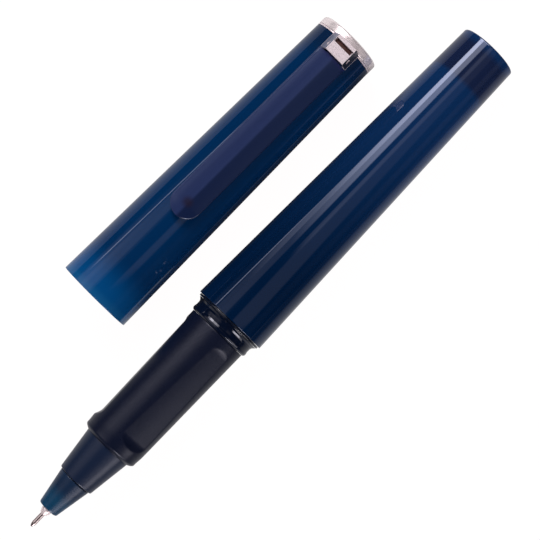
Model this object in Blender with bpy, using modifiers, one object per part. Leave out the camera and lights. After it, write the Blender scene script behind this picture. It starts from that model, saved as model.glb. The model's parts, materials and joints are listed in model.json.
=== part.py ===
"""A rollerball pen lying on a flat surface, with its cap pulled off and lying beside it.

The pen and the cap are each modelled along their own axis and then laid down by an empty.
In both frames Z runs along the axis, X points up from the surface and Y points away from the
cap's side (world -Y). The pen's Z is zero at the writing point and grows to the tail. The
cap's Z is zero at its mouth and grows to the closed end. World +X points to the pen's tail,
world +Z is up, and the origin is at the middle of the footprint.

All sizes in the constants are millimetres; MM turns them into metres.
"""
import math

import bmesh
import bpy
from mathutils import Euler, Matrix, Vector

MM = 0.001
SIDES = 32                 # facets round every turned piece
FIT = 0.08                 # radial clearance of pieces that turn or slide in each other
GAP = 0.1                  # clearance of pieces that are fixed to each other

# ---- pen: axial stations from the writing point, and radii ----
PEN_LENGTH = 120.3
NEEDLE_RADIUS = 0.46
BALL_RADIUS = 0.25
NEEDLE_BASE_Z = 3.3        # where the needle leaves its metal shoulder
NOSE_FRONT_Z = 4.35
NOSE_FRONT_RADIUS = 2.06
NOSE_REAR_Z = 11.45
NOSE_REAR_RADIUS = 3.31
CONE_FRONT_Z = 11.6
CONE_FRONT_RADIUS = 3.69
CONE_REAR_Z = 19.9
CONE_REAR_RADIUS = 4.80
SLEEVE_FRONT_Z = 20.0
SLEEVE_REAR_Z = 48.55
SLEEVE_FRONT_RADIUS = 5.82
SLEEVE_REAR_RADIUS = 6.02
LIP_RADIUS = 6.48          # the lip that the cap snaps over
GROOVE_RADIUS = 6.36
SHOULDER_Z = 51.3          # rear face of the core's collar
RING_FLANGE_Z = 51.37
RING_RADIUS = 7.15
BARREL_FRONT_Z = 51.85
BARREL_FRONT_RADIUS = 7.5
BARREL_REAR_RADIUS = 5.81
BARREL_RIM = 0.2           # bevel of the barrel's mouth
BARREL_END_ROUND = 0.8     # rounding of the tail's rim
BARREL_BORE_END_Z = 117.4

# ---- the thread between core and barrel ----
THREAD_PITCH = 1.5
MALE_THREAD_Z = 55.4       # where the core's ridge starts
MALE_TURNS = 3.0
FEMALE_TURNS = 3.4
THREAD_BORE_END_Z = 63.2
SPIGOT_RADIUS = 5.2
THREAD_BORE_RADIUS = 5.9
MALE_CREST_RADIUS = 5.75
FEMALE_CREST_RADIUS = 5.35
THREAD_ROOT_WIDTH = 0.62
THREAD_CREST_WIDTH = 0.3

# ---- refill ----
REFILL_BORE_RADIUS = 3.1   # bore of the core
REFILL_RADIUS = 2.95
REFILL_TUBE_BORE = 2.45
REFILL_TUBE_Z = (22.0, 100.0)

# ---- cap: axial stations from its mouth, and radii ----
CAP_MOUTH_RADIUS = 7.5
CAP_TOP_Z = 64.2
CAP_TOP_RADIUS = 6.4
CAP_BORE = ((4.0, 6.65), (57.8, 5.6))   # (z, radius) at both ends of the tapered bore
LINER_Z = (32.5, 57.5)
RING_Z = (64.65, 66.3)
RING_ROUND = 0.55          # rounding of the ring's outer edge
CAP_RING_RADIUS = 6.42

# ---- clip ----
CLIP_END_Z = 20.8
CLIP_ROOT_Z = 60.65
CLIP_WIDTH = 6.2
CLIP_UNDER = 7.5           # underside of the bar above the cap's axis
CLIP_THICKNESS = 1.5
CLIP_NUB_Z = 24.0
PIN_HEIGHT = 8.1           # the pin above the cap's axis
PIN_Z = 62.15
PIN_RADIUS = 0.4
BRACKET_FRONT_Z = 60.95
WASHER_Z = (64.28, 64.57)  # the bracket's washer, between the shell and the ring
BRACKET_TOP = 9.3
BRACKET_FOOT = 5.6
BRACKET_TOP_HALF = 2.1
BRACKET_FOOT_HALF = 3.15
BRACKET_WALL = 0.45
SLIT_Z = (63.0, 63.9)

# ---- how the two pieces lie ----
BARREL_TAPER = math.atan(
    (BARREL_FRONT_RADIUS - BARREL_REAR_RADIUS) / (PEN_LENGTH - BARREL_END_ROUND - BARREL_FRONT_Z)
)
# the cap rests on its mouth and on its ring, which is wider than the shell beside it
CAP_TAPER = math.atan((CAP_MOUTH_RADIUS - CAP_RING_RADIUS) / (RING_Z[1] - RING_ROUND))
CAP_MOUTH_X = 37.82        # the cap's mouth, measured from the writing point
CAP_MOUTH_Y = 20.83        # and from the pen's axis
CAP_YAW = math.radians(-1.09)
CLIP_ROLL = math.radians(5.37)
FOOTPRINT_MIDDLE = Vector((60.194, 10.412))

GRIP_FLAT_ANGLES = [math.radians(a) for a in (35, 155, 275)]

PARTS = "rollerball_pen"
CUTTERS = "cutters"


# ---------------------------------------------------------------- scene helpers

def clear_scene():
    for obj in list(bpy.data.objects):
        bpy.data.objects.remove(obj, do_unlink=True)


def collection(name):
    found = bpy.data.collections.get(name)
    if found is None:
        found = bpy.data.collections.new(name)
        bpy.context.scene.collection.children.link(found)
    return found


def material(name, colour, roughness, metallic=0.0, transmission=0.0):
    """A Principled BSDF with one colour."""
    mat = bpy.data.materials.new(name)
    mat.use_nodes = True
    shader = mat.node_tree.nodes["Principled BSDF"]
    shader.inputs["Base Color"].default_value = (*colour, 1.0)
    shader.inputs["Roughness"].default_value = roughness
    shader.inputs["Metallic"].default_value = metallic
    shader.inputs["Transmission Weight"].default_value = transmission
    return mat


def add_object(name, mesh, frame, mat, group=PARTS):
    obj = bpy.data.objects.new(name, mesh)
    if mat is not None:
        mesh.materials.append(mat)
    collection(group).objects.link(obj)
    obj.parent = frame
    return obj


def lying_frame(name, tip_x, tip_y, radius_at_contact, contact_z, taper, yaw=0.0):
    """An empty whose Z runs along a cone that lies on the surface, and whose X points up."""
    empty = bpy.data.objects.new(name, None)
    collection(PARTS).objects.link(empty)
    height = contact_z * math.sin(taper) + radius_at_contact * math.cos(taper)
    empty.location = Vector((tip_x, tip_y, height)) * MM
    empty.rotation_euler = Euler((math.pi, taper - math.pi / 2, yaw))
    return empty


def child_empty(name, parent, location, roll=0.0):
    empty = bpy.data.objects.new(name, None)
    collection(PARTS).objects.link(empty)
    empty.parent = parent
    empty.location = Vector(location) * MM
    empty.rotation_euler.z = roll
    return empty


# ---------------------------------------------------------------- shape helpers

def arc(z, radius, size, start, end, steps=3):
    """Points (z, r) of a quarter round about (z, radius); angles run from +r towards +z."""
    points = []
    for i in range(steps + 1):
        angle = math.radians(start + (end - start) * i / steps)
        points.append((z + size * math.sin(angle), radius + size * math.cos(angle)))
    return points


def turned(name, outer, frame, mat, inner=None, sides=SIDES, group=PARTS):
    """A turned piece. outer and inner are lists of (z, r), both from the front to the back.

    An outline whose ends are on the axis is a solid or a cup; any other is closed into a tube.
    """
    loop = list(reversed(outer)) + list(inner or [])
    bm = bmesh.new()
    verts = [bm.verts.new((r * MM, 0.0, z * MM)) for z, r in loop]
    for a, b in zip(verts, verts[1:]):
        bm.edges.new((a, b))
    if loop[0][1] > 0:
        bm.edges.new((verts[-1], verts[0]))
    mesh = bpy.data.meshes.new(name)
    bm.to_mesh(mesh)
    bm.free()
    obj = add_object(name, mesh, frame, mat, group)
    screw = obj.modifiers.new("turn", "SCREW")
    screw.axis = "Z"
    screw.angle = 2 * math.pi
    screw.steps = screw.render_steps = sides
    screw.use_merge_vertices = True
    screw.merge_threshold = 0.00001
    screw.use_smooth_shade = True
    return obj


def block(name, size, centre, frame, mat=None, group=PARTS):
    """A box from a primitive cube; size and centre in millimetres."""
    bm = bmesh.new()
    bmesh.ops.create_cube(bm, size=1.0)
    bmesh.ops.scale(bm, vec=Vector(size) * MM, verts=bm.verts)
    bmesh.ops.translate(bm, vec=Vector(centre) * MM, verts=bm.verts)
    mesh = bpy.data.meshes.new(name)
    bm.to_mesh(mesh)
    bm.free()
    return add_object(name, mesh, frame, mat, group)


def trapezoid(name, heights, half_widths, z_range, frame, mat=None, group=PARTS):
    """A prism along Z whose section narrows from half_widths[0] to half_widths[1] as X rises."""
    size = (heights[1] - heights[0], 2.0, z_range[1] - z_range[0])
    centre = (sum(heights) / 2, 0.0, sum(z_range) / 2)
    obj = block(name, size, centre, frame, mat, group)
    middle = centre[0] * MM
    for vert in obj.data.vertices:
        vert.co.y *= half_widths[1] if vert.co.x > middle else half_widths[0]
    return obj


def rod(name, radius, ends, frame, mat=None, along="Z", at=(0.0, 0.0), sides=24, group=PARTS):
    """A cylinder along an axis between two ends; at is its centre on the other two axes."""
    length = ends[1] - ends[0]
    bm = bmesh.new()
    bmesh.ops.create_cone(
        bm, cap_ends=True, segments=sides, radius1=radius * MM, radius2=radius * MM, depth=length * MM
    )
    middle = (ends[0] + ends[1]) / 2
    centre = {"X": (middle, *at), "Y": (at[0], middle, at[1]), "Z": (*at, middle)}[along]
    turn_about = {"X": "Y", "Y": "X"}.get(along)
    if turn_about:
        quarter = Matrix.Rotation(math.pi / 2, 3, turn_about)
        bmesh.ops.rotate(bm, cent=(0, 0, 0), matrix=quarter, verts=bm.verts)
    bmesh.ops.translate(bm, vec=Vector(centre) * MM, verts=bm.verts)
    mesh = bpy.data.meshes.new(name)
    bm.to_mesh(mesh)
    bm.free()
    return add_object(name, mesh, frame, mat, group)


def helix_ridge(name, root, crest, start_z, turns, frame):
    """A trapezoid ridge wound round Z. Its ends sink into the wall that it stands on."""
    steps = int(SIDES * turns)
    sunk = root - math.copysign(0.15, crest - root)
    bm = bmesh.new()
    rings = []
    for i in range(steps + 1):
        angle = 2 * math.pi * i / SIDES
        z = start_z + THREAD_PITCH * i / SIDES
        ramp = min(1.0, i / 4, (steps - i) / 4)
        tip = root + (crest - root) * ramp
        ring = []
        for radius, offset in (
            (sunk, -THREAD_ROOT_WIDTH / 2),
            (tip, -THREAD_CREST_WIDTH / 2),
            (tip, THREAD_CREST_WIDTH / 2),
            (sunk, THREAD_ROOT_WIDTH / 2),
        ):
            ring.append(
                bm.verts.new(
                    Vector((radius * math.cos(angle), radius * math.sin(angle), z + offset)) * MM
                )
            )
        rings.append(ring)
    for a, b in zip(rings, rings[1:]):
        for j in range(4):
            k = (j + 1) % 4
            bm.faces.new((a[j], a[k], b[k], b[j]))
    bm.faces.new(rings[0])
    bm.faces.new(rings[-1])
    bmesh.ops.recalc_face_normals(bm, faces=bm.faces)
    mesh = bpy.data.meshes.new(name)
    bm.to_mesh(mesh)
    bm.free()
    return add_object(name, mesh, frame, None, CUTTERS)


def as_cutter(obj):
    obj.hide_render = True
    obj.display_type = "WIRE"
    return obj


def combine(obj, cutter, operation):
    boolean = obj.modifiers.new(operation.lower() + "_" + cutter.name, "BOOLEAN")
    boolean.operation = operation
    boolean.object = cutter
    boolean.solver = "EXACT"


def cut(obj, cutter):
    combine(obj, as_cutter(cutter), "DIFFERENCE")


def join(obj, other):
    combine(obj, as_cutter(other), "UNION")


# ---------------------------------------------------------------- pen body

def barrel_bore_radius(z):
    """Radius of the barrel's tapered bore behind its thread."""
    front, rear = 5.6, 4.2
    length = BARREL_BORE_END_Z - THREAD_BORE_END_Z
    return front + (rear - front) * (z - THREAD_BORE_END_Z) / length


def make_barrel(frame, mat):
    bore_start = THREAD_BORE_END_Z
    outer = [(BARREL_FRONT_Z, BARREL_FRONT_RADIUS - BARREL_RIM)]
    outer += [(BARREL_FRONT_Z + BARREL_RIM, BARREL_FRONT_RADIUS)]
    outer += arc(
        PEN_LENGTH - BARREL_END_ROUND, BARREL_REAR_RADIUS - BARREL_END_ROUND, BARREL_END_ROUND, 0, 90
    )
    outer += [(PEN_LENGTH, 0.0)]
    inner = [
        (BARREL_FRONT_Z, 6.25),
        (BARREL_FRONT_Z + 2.1, 6.25),
        (BARREL_FRONT_Z + 2.1, THREAD_BORE_RADIUS),
        (bore_start - 0.3, THREAD_BORE_RADIUS),
        (bore_start, barrel_bore_radius(bore_start)),
        (BARREL_BORE_END_Z, barrel_bore_radius(BARREL_BORE_END_Z)),
        (BARREL_BORE_END_Z, 0.0),
    ]
    barrel = turned("barrel", outer, frame, mat, inner)
    # this ridge winds half a pitch behind the core's, so the two are in mesh
    ridge = helix_ridge(
        "barrel_thread", THREAD_BORE_RADIUS, FEMALE_CREST_RADIUS,
        MALE_THREAD_Z + THREAD_PITCH / 2, FEMALE_TURNS, frame,
    )
    join(barrel, ridge)
    return barrel


def make_tail_plug(frame, mat):
    front = 112.0
    rear = BARREL_BORE_END_Z - GAP
    radius = barrel_bore_radius(rear) - GAP
    seat_depth = 1.6
    outer = [(front, 2.7), (front, radius - 0.5), (front + 0.7, radius), (rear, radius), (rear, 0.0)]
    inner = [(front + seat_depth, 2.7), (front + seat_depth, 0.0)]
    return turned("tail_plug", outer, frame, mat, inner)


def make_spring(frame, mat):
    """A wire coil between the boss on the refill and the seat in the tail plug."""
    turns, per_turn = 6, 12
    start, end = 101.6, 113.2
    mean_radius, wire_radius = 2.05, 0.22
    curve = bpy.data.curves.new("refill_spring", "CURVE")
    curve.dimensions = "3D"
    curve.bevel_depth = wire_radius * MM
    curve.bevel_resolution = 1
    curve.use_fill_caps = True
    spline = curve.splines.new("POLY")
    count = turns * per_turn + 1
    spline.points.add(count - 1)
    for i in range(count):
        angle = 2 * math.pi * i / per_turn
        z = start + (end - start) * i / (count - 1)
        point = Vector((mean_radius * math.cos(angle), mean_radius * math.sin(angle), z)) * MM
        spline.points[i].co = (*point, 1.0)
    obj = bpy.data.objects.new("refill_spring", curve)
    curve.materials.append(mat)
    collection(PARTS).objects.link(obj)
    obj.parent = frame
    return obj


def make_collar_ring(frame, mat):
    hub = 6.25 - GAP
    outer = [
        (RING_FLANGE_Z, RING_RADIUS - 0.1),
        (RING_FLANGE_Z + 0.1, RING_RADIUS),
        (BARREL_FRONT_Z - 0.08, RING_RADIUS),
        (BARREL_FRONT_Z - 0.08, hub),
        (BARREL_FRONT_Z + 1.8, hub),
    ]
    bore = 5.6 + FIT
    inner = [(RING_FLANGE_Z, bore), (BARREL_FRONT_Z + 1.8, bore)]
    return turned("collar_ring", outer, frame, mat, inner)


# ---------------------------------------------------------------- section

def make_section_core(frame, mat):
    seat = CONE_REAR_RADIUS
    lip_front = SLEEVE_REAR_Z + 0.1
    outer = [
        (CONE_FRONT_Z, CONE_FRONT_RADIUS - 0.38),
        (CONE_FRONT_Z + 0.4, CONE_FRONT_RADIUS),
        (CONE_REAR_Z, seat),
        (lip_front, seat),
        (lip_front, SLEEVE_REAR_RADIUS + 0.08),
        (lip_front + 0.3, LIP_RADIUS - 0.1),
        (lip_front + 0.6, LIP_RADIUS),
        (lip_front + 1.0, LIP_RADIUS - 0.04),
        (lip_front + 1.4, GROOVE_RADIUS),
        (SHOULDER_Z - 0.75, GROOVE_RADIUS),
        (SHOULDER_Z - 0.3, GROOVE_RADIUS + 0.2),
        (SHOULDER_Z, GROOVE_RADIUS + 0.6),
        (SHOULDER_Z, 5.6),
        (BARREL_FRONT_Z + 1.9, 5.6),
        (BARREL_FRONT_Z + 1.9, SPIGOT_RADIUS),
        (60.7, SPIGOT_RADIUS),
        (61.2, SPIGOT_RADIUS - 0.4),
    ]
    front_bore = 3.0
    inner = [
        (CONE_FRONT_Z, front_bore),
        (15.6, front_bore),
        (15.6, REFILL_BORE_RADIUS - 0.4),
        (21.0, REFILL_BORE_RADIUS - 0.4),
        (21.0, REFILL_BORE_RADIUS),
        (61.2, REFILL_BORE_RADIUS),
    ]
    core = turned("section_core", outer, frame, mat, inner)
    ridge = helix_ridge(
        "core_thread", SPIGOT_RADIUS, MALE_CREST_RADIUS, MALE_THREAD_Z, MALE_TURNS, frame
    )
    join(core, ridge)
    return core


def make_grip_sleeve(frame, mat):
    bore = CONE_REAR_RADIUS + GAP
    outer = [
        (SLEEVE_FRONT_Z, bore + 0.15),
        (SLEEVE_FRONT_Z + 0.25, bore + 0.3),
        (SLEEVE_FRONT_Z + 0.75, SLEEVE_FRONT_RADIUS),
        (23.0, SLEEVE_FRONT_RADIUS + 0.12),
        (SLEEVE_REAR_Z, SLEEVE_REAR_RADIUS),
    ]
    inner = [(SLEEVE_FRONT_Z, bore), (SLEEVE_REAR_Z, bore)]
    sleeve = turned("grip_sleeve", outer, frame, mat, inner, sides=48)
    for i, angle in enumerate(GRIP_FLAT_ANGLES):
        cut(sleeve, grip_flat_cutter(f"grip_flat_{i + 1}", frame, angle))
    return sleeve


def grip_flat_cutter(name, frame, angle):
    """A slab with scooped ends whose underside is the finger flat."""
    front_z, rear_z = 22.4, 47.4
    front_depth, rear_depth = 5.39, 5.78
    front_scoop, rear_scoop = 2.1, 1.6
    top = SLEEVE_REAR_RADIUS + 2.0
    steps = 6
    outline = []
    for i in range(steps + 1):
        t = i / steps
        outline.append((front_z + front_scoop * t, front_depth + 0.75 * (1 - t) ** 2))
    for i in range(steps + 1):
        t = i / steps
        outline.append((rear_z - rear_scoop * (1 - t), rear_depth + 0.45 * t ** 2))
    outline += [(rear_z, top), (front_z, top)]
    half = 4.5
    bm = bmesh.new()
    near = [bm.verts.new(Vector((x, -half, z)) * MM) for z, x in outline]
    face = bm.faces.new(near)
    swept = bmesh.ops.extrude_face_region(bm, geom=[face])
    moved = [v for v in swept["geom"] if isinstance(v, bmesh.types.BMVert)]
    bmesh.ops.translate(bm, vec=Vector((0, 2 * half, 0)) * MM, verts=moved)
    bmesh.ops.recalc_face_normals(bm, faces=bm.faces)
    mesh = bpy.data.meshes.new(name)
    bm.to_mesh(mesh)
    bm.free()
    obj = add_object(name, mesh, frame, None, CUTTERS)
    obj.rotation_euler.z = angle
    return obj


def make_nose_cone(frame, mat):
    rim = 0.3
    outer = [
        (NOSE_FRONT_Z, NOSE_FRONT_RADIUS - rim),
        (NOSE_FRONT_Z + 0.1, NOSE_FRONT_RADIUS - 0.1),
        (NOSE_FRONT_Z + rim, NOSE_FRONT_RADIUS),
        (NOSE_REAR_Z, NOSE_REAR_RADIUS),
        (NOSE_REAR_Z, 3.0 - GAP),
        (15.4, 3.0 - GAP),
    ]
    inner = [
        (NOSE_FRONT_Z, 1.2),
        (5.3, 1.2),
        (5.9, 1.55),
        (9.2, 1.55),
        (9.2, 2.1),
        (15.4, 2.1),
    ]
    return turned("nose_cone", outer, frame, mat, inner, sides=24)


# ---------------------------------------------------------------- refill

def make_refill_tube(frame, mat):
    start, end = REFILL_TUBE_Z
    return turned(
        "refill_tube",
        [(start, REFILL_RADIUS), (end, REFILL_RADIUS)],
        frame, mat,
        [(start, REFILL_TUBE_BORE), (end, REFILL_TUBE_BORE)],
    )


def make_ink_reservoir(frame, mat):
    return rod("ink_reservoir", REFILL_TUBE_BORE - GAP, (26.3, 96.4), frame, mat)


def make_refill_end_plug(frame, mat):
    tube_end = REFILL_TUBE_Z[1]
    outer = [
        (96.6, 0.0),
        (96.6, REFILL_TUBE_BORE - GAP),
        (tube_end + GAP, REFILL_TUBE_BORE - GAP),
        (tube_end + GAP, REFILL_RADIUS),
        (101.2, REFILL_RADIUS),
        (101.2, 1.6),
        (103.4, 1.35),
        (103.4, 0.0),
    ]
    return turned("refill_end_plug", outer, frame, mat)


def make_refill_nose(frame, mat):
    tube_start = REFILL_TUBE_Z[0]
    outer = [
        (9.4, 1.9),
        (15.2, 1.9),
        (16.0, 2.4),
        (21.1, 2.4),
        (21.1, REFILL_RADIUS),
        (tube_start - GAP, REFILL_RADIUS),
        (tube_start - GAP, REFILL_TUBE_BORE - GAP),
        (26.1, REFILL_TUBE_BORE - GAP),
    ]
    inner = [(9.4, 1.35), (11.6, 1.35), (11.6, 0.65), (26.1, 0.65)]
    return turned("refill_nose", outer, frame, mat, inner, sides=24)


def make_feed_wick(frame, mat):
    return rod("feed_wick", 0.5, (6.0, 26.2), frame, mat, sides=16)


def make_tip_cone(frame, mat):
    outer = [
        (NEEDLE_BASE_Z - 0.15, 0.66),
        (NEEDLE_BASE_Z + 0.6, 1.0),
        (5.4, 1.0),
        (6.1, 1.4),
        (9.2, 1.4),
        (9.2, 1.35 - GAP),
        (11.5, 1.35 - GAP),
    ]
    inner = [
        (NEEDLE_BASE_Z - 0.15, NEEDLE_RADIUS + 0.05),
        (5.6, NEEDLE_RADIUS + 0.05),
        (5.6, 0.6),
        (11.5, 0.6),
    ]
    return turned("tip_cone", outer, frame, mat, inner, sides=24)


def make_needle_tube(frame, mat):
    mouth = 0.3
    outer = [(mouth, 0.34), (0.85, NEEDLE_RADIUS), (5.5, NEEDLE_RADIUS)]
    seat = BALL_RADIUS + 0.04
    inner = [(mouth, seat), (0.56, seat), (0.7, 0.16), (5.5, 0.16)]
    return turned("needle_tube", outer, frame, mat, inner, sides=20)


def make_writing_ball(frame, mat):
    bm = bmesh.new()
    bmesh.ops.create_uvsphere(bm, u_segments=12, v_segments=8, radius=BALL_RADIUS * MM)
    mesh = bpy.data.meshes.new("writing_ball")
    bm.to_mesh(mesh)
    bm.free()
    ball = add_object("writing_ball", mesh, frame, mat)
    ball.location.z = BALL_RADIUS * MM
    return ball


# ---------------------------------------------------------------- cap

def cap_bore_radius(z):
    """Radius of the cap's tapered bore behind its snap ridge."""
    (front_z, front), (rear_z, rear) = CAP_BORE
    return front + (rear - front) * (z - front_z) / (rear_z - front_z)


def make_cap_shell(frame, mat):
    rim = 0.2
    outer = [
        (0.0, CAP_MOUTH_RADIUS - rim),
        (rim, CAP_MOUTH_RADIUS),
        (CAP_TOP_Z, CAP_TOP_RADIUS),
    ]
    inner = [
        (0.0, 7.2),
        (0.6, 7.2),
        (0.9, 6.75),
        (1.5, 6.55),
        (1.9, 6.43),
        (2.3, 6.6),
        *CAP_BORE,
        (58.4, 4.5),
        (CAP_TOP_Z, 4.5),
    ]
    return turned("cap_shell", outer, frame, mat, inner, sides=40)


def make_cap_liner(frame, mat):
    start, end = LINER_Z
    outer = [
        (start, cap_bore_radius(start) - 2 * GAP),
        (end - 0.4, cap_bore_radius(end) - GAP),
        (end, cap_bore_radius(end) - 0.5),
        (end, 0.0),
    ]
    inner = [(start, 5.45), (start + 1.0, 5.2), (end - 1.2, 4.6), (end - 1.2, 0.0)]
    return turned("cap_liner", outer, frame, mat, inner)


def make_cap_top_ring(frame, mat):
    front, rear = RING_Z
    outer = [(front, CAP_RING_RADIUS - 0.08), (front + 0.08, CAP_RING_RADIUS)]
    outer += arc(rear - RING_ROUND, CAP_RING_RADIUS - RING_ROUND, RING_ROUND, 0, 90)
    inner = [(front, 4.95), (rear, 4.95)]
    return turned("cap_top_ring", outer, frame, mat, inner, sides=40)


def make_cap_top_plug(frame, mat):
    """The screw plug: a stem in the shell, and a dished face inside the ring."""
    front, rear = RING_Z
    outer = [
        (58.6, 0.0),
        (58.6, 4.2),
        (59.0, 4.4),
        (front, 4.4),
        (front, 4.85),
        (rear - 0.35, 4.85),
        (rear - 0.1, 4.6),
        (rear - 0.1, 0.0),
    ]
    return turned("cap_top_plug", outer, frame, mat)


# ---------------------------------------------------------------- clip

def make_clip_bracket(frame, mat):
    """A pressed bracket: a washer under the ring, folded forward over the clip's root."""
    front = BRACKET_FRONT_Z
    bracket = trapezoid(
        "clip_bracket", (BRACKET_FOOT, BRACKET_TOP), (BRACKET_FOOT_HALF, BRACKET_TOP_HALF),
        (front, WASHER_Z[1]), frame, mat,
    )
    hollow = trapezoid(
        "bracket_hollow", (BRACKET_FOOT - 1.0, BRACKET_TOP - BRACKET_WALL),
        (BRACKET_FOOT_HALF - BRACKET_WALL + 0.25, BRACKET_TOP_HALF - BRACKET_WALL + 0.05),
        (front - 1.0, SLIT_Z[1]), frame, group=CUTTERS,
    )
    slit = block(
        "bracket_slit", (2.0, 2 * BRACKET_TOP_HALF - 0.15, SLIT_Z[1] - SLIT_Z[0]),
        (BRACKET_TOP, 0.0, sum(SLIT_Z) / 2), frame, group=CUTTERS,
    )
    seat = rod("bracket_seat", CAP_TOP_RADIUS + GAP + 0.04, (front - 2.0, WASHER_Z[0]), frame,
               sides=40, group=CUTTERS)
    washer = turned(
        "bracket_washer", [(z, CAP_RING_RADIUS) for z in WASHER_Z], frame, None,
        [(z, 4.5) for z in WASHER_Z], sides=40, group=CUTTERS,
    )
    centre_hole = rod("bracket_centre", 6.0, (CAP_TOP_Z, WASHER_Z[1] + 1.0), frame,
                      sides=40, group=CUTTERS)
    cut(bracket, hollow)
    cut(bracket, slit)
    cut(bracket, seat)
    cut(bracket, centre_hole)
    join(bracket, washer)
    hole = rod("bracket_pin_hole", PIN_RADIUS + 0.05, (-4.0, 4.0), frame, along="Y",
               at=(PIN_HEIGHT, PIN_Z), group=CUTTERS)
    cut(bracket, hole)
    return bracket


def make_clip_bar(pivot, mat):
    """The clip: a flat bar with a round end, a tongue in the bracket and a nub underneath.

    Its origin is on the pin.
    """
    half = CLIP_WIDTH / 2
    end_centre = CLIP_END_Z + half
    steps = 12
    outline = [(CLIP_ROOT_Z, half)]
    for i in range(steps + 1):
        angle = math.pi / 2 + math.pi * i / steps
        outline.append((end_centre + half * math.cos(angle), half * math.sin(angle)))
    outline.append((CLIP_ROOT_Z, -half))
    bm = bmesh.new()
    lower = CLIP_UNDER - PIN_HEIGHT
    base = [bm.verts.new(Vector((lower, y, z - PIN_Z)) * MM) for z, y in outline]
    face = bm.faces.new(base)
    swept = bmesh.ops.extrude_face_region(bm, geom=[face])
    moved = [v for v in swept["geom"] if isinstance(v, bmesh.types.BMVert)]
    bmesh.ops.translate(bm, vec=Vector((CLIP_THICKNESS, 0, 0)) * MM, verts=moved)
    bmesh.ops.recalc_face_normals(bm, faces=bm.faces)
    mesh = bpy.data.meshes.new("clip_bar")
    bm.to_mesh(mesh)
    bm.free()
    clip = add_object("clip_bar", mesh, pivot, mat)
    bevel = clip.modifiers.new("edges", "BEVEL")
    bevel.width = 0.35 * MM
    bevel.segments = 2
    bevel.limit_method = "ANGLE"
    bevel.angle_limit = math.radians(50)
    tongue_end = 63.0
    tongue = block(
        "clip_tongue", (1.0, 3.0, tongue_end - CLIP_ROOT_Z + 1.0),
        (0.0, 0.0, (tongue_end + CLIP_ROOT_Z - 1.0) / 2 - PIN_Z), pivot, group=CUTTERS,
    )
    join(clip, tongue)
    nub_height = 0.25
    nub = rod("clip_nub", 0.75, (lower - nub_height, lower + 0.4), pivot, along="X",
              at=(0.0, CLIP_NUB_Z - PIN_Z), sides=20, group=CUTTERS)
    join(clip, nub)
    hole = rod("clip_pin_hole", PIN_RADIUS + 0.05, (-3.0, 3.0), pivot, along="Y", group=CUTTERS)
    cut(clip, hole)
    return clip


def make_clip_pin(frame, mat):
    reach = 2.15
    return rod("clip_pin", PIN_RADIUS, (-reach, reach), frame, mat, along="Y",
               at=(PIN_HEIGHT, PIN_Z), sides=24)


# ---------------------------------------------------------------- assembly

def make_pen(frame):
    blue = material("translucent_blue", (0.01, 0.11, 0.22), 0.08, transmission=0.6)
    smoke = material("translucent_smoke_blue", (0.03, 0.10, 0.17), 0.3, transmission=0.4)
    glossy_black = material("glossy_blue_black", (0.02, 0.02, 0.05), 0.12)
    matte_grip = material("matte_grip", (0.05, 0.055, 0.085), 0.5)
    white_plastic = material("white_plastic", (0.75, 0.75, 0.72), 0.4)
    ink_fibre = material("ink_fibre", (0.02, 0.03, 0.25), 0.9)
    steel = material("steel", (0.75, 0.73, 0.72), 0.2, metallic=1.0)
    make_barrel(frame, blue)
    make_tail_plug(frame, smoke)
    make_spring(frame, steel)
    make_collar_ring(frame, glossy_black)
    make_section_core(frame, glossy_black)
    make_grip_sleeve(frame, matte_grip)
    make_nose_cone(frame, smoke)
    make_refill_tube(frame, white_plastic)
    make_ink_reservoir(frame, ink_fibre)
    make_refill_end_plug(frame, white_plastic)
    make_refill_nose(frame, white_plastic)
    make_feed_wick(frame, ink_fibre)
    make_tip_cone(frame, steel)
    make_needle_tube(frame, steel)
    make_writing_ball(frame, steel)


def make_cap(frame):
    blue = material("cap_blue", (0.01, 0.12, 0.24), 0.08, transmission=0.6)
    liner = material("liner_blue", (0.02, 0.10, 0.2), 0.3, transmission=0.3)
    steel = material("polished_steel", (0.85, 0.82, 0.81), 0.15, metallic=1.0)
    violet = material("clip_violet", (0.05, 0.05, 0.15), 0.15, transmission=0.2)
    make_cap_shell(frame, blue)
    make_cap_liner(frame, liner)
    make_cap_top_ring(frame, steel)
    make_cap_top_plug(frame, liner)
    clip_frame = child_empty("clip_frame", frame, (0, 0, 0), CLIP_ROLL)
    make_clip_bracket(clip_frame, steel)
    make_clip_pin(clip_frame, steel)
    clip_pivot = child_empty("clip_pivot", clip_frame, (PIN_HEIGHT, 0, PIN_Z))
    make_clip_bar(clip_pivot, violet)


def main():
    clear_scene()
    middle = FOOTPRINT_MIDDLE
    pen_frame = lying_frame(
        "pen_frame", -middle.x, -middle.y,
        BARREL_FRONT_RADIUS, BARREL_FRONT_Z + BARREL_RIM, BARREL_TAPER,
    )
    cap_frame = lying_frame(
        "cap_frame", CAP_MOUTH_X - middle.x, CAP_MOUTH_Y - middle.y, CAP_MOUTH_RADIUS, 0.0,
        CAP_TAPER, CAP_YAW,
    )
    make_pen(pen_frame)
    make_cap(cap_frame)


main()
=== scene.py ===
"""Looks of the rollerball pen and its cap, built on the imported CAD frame.

The turned pieces are rebuilt with round profiles and fine segments in the frames of the pen
and the cap: Z along the axis, X up, Y towards world -Y. Lengths are in millimetres and MM
turns them into metres.
"""
import json
import math

import bmesh
import bpy
from mathutils import Euler, Matrix, Vector


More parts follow.
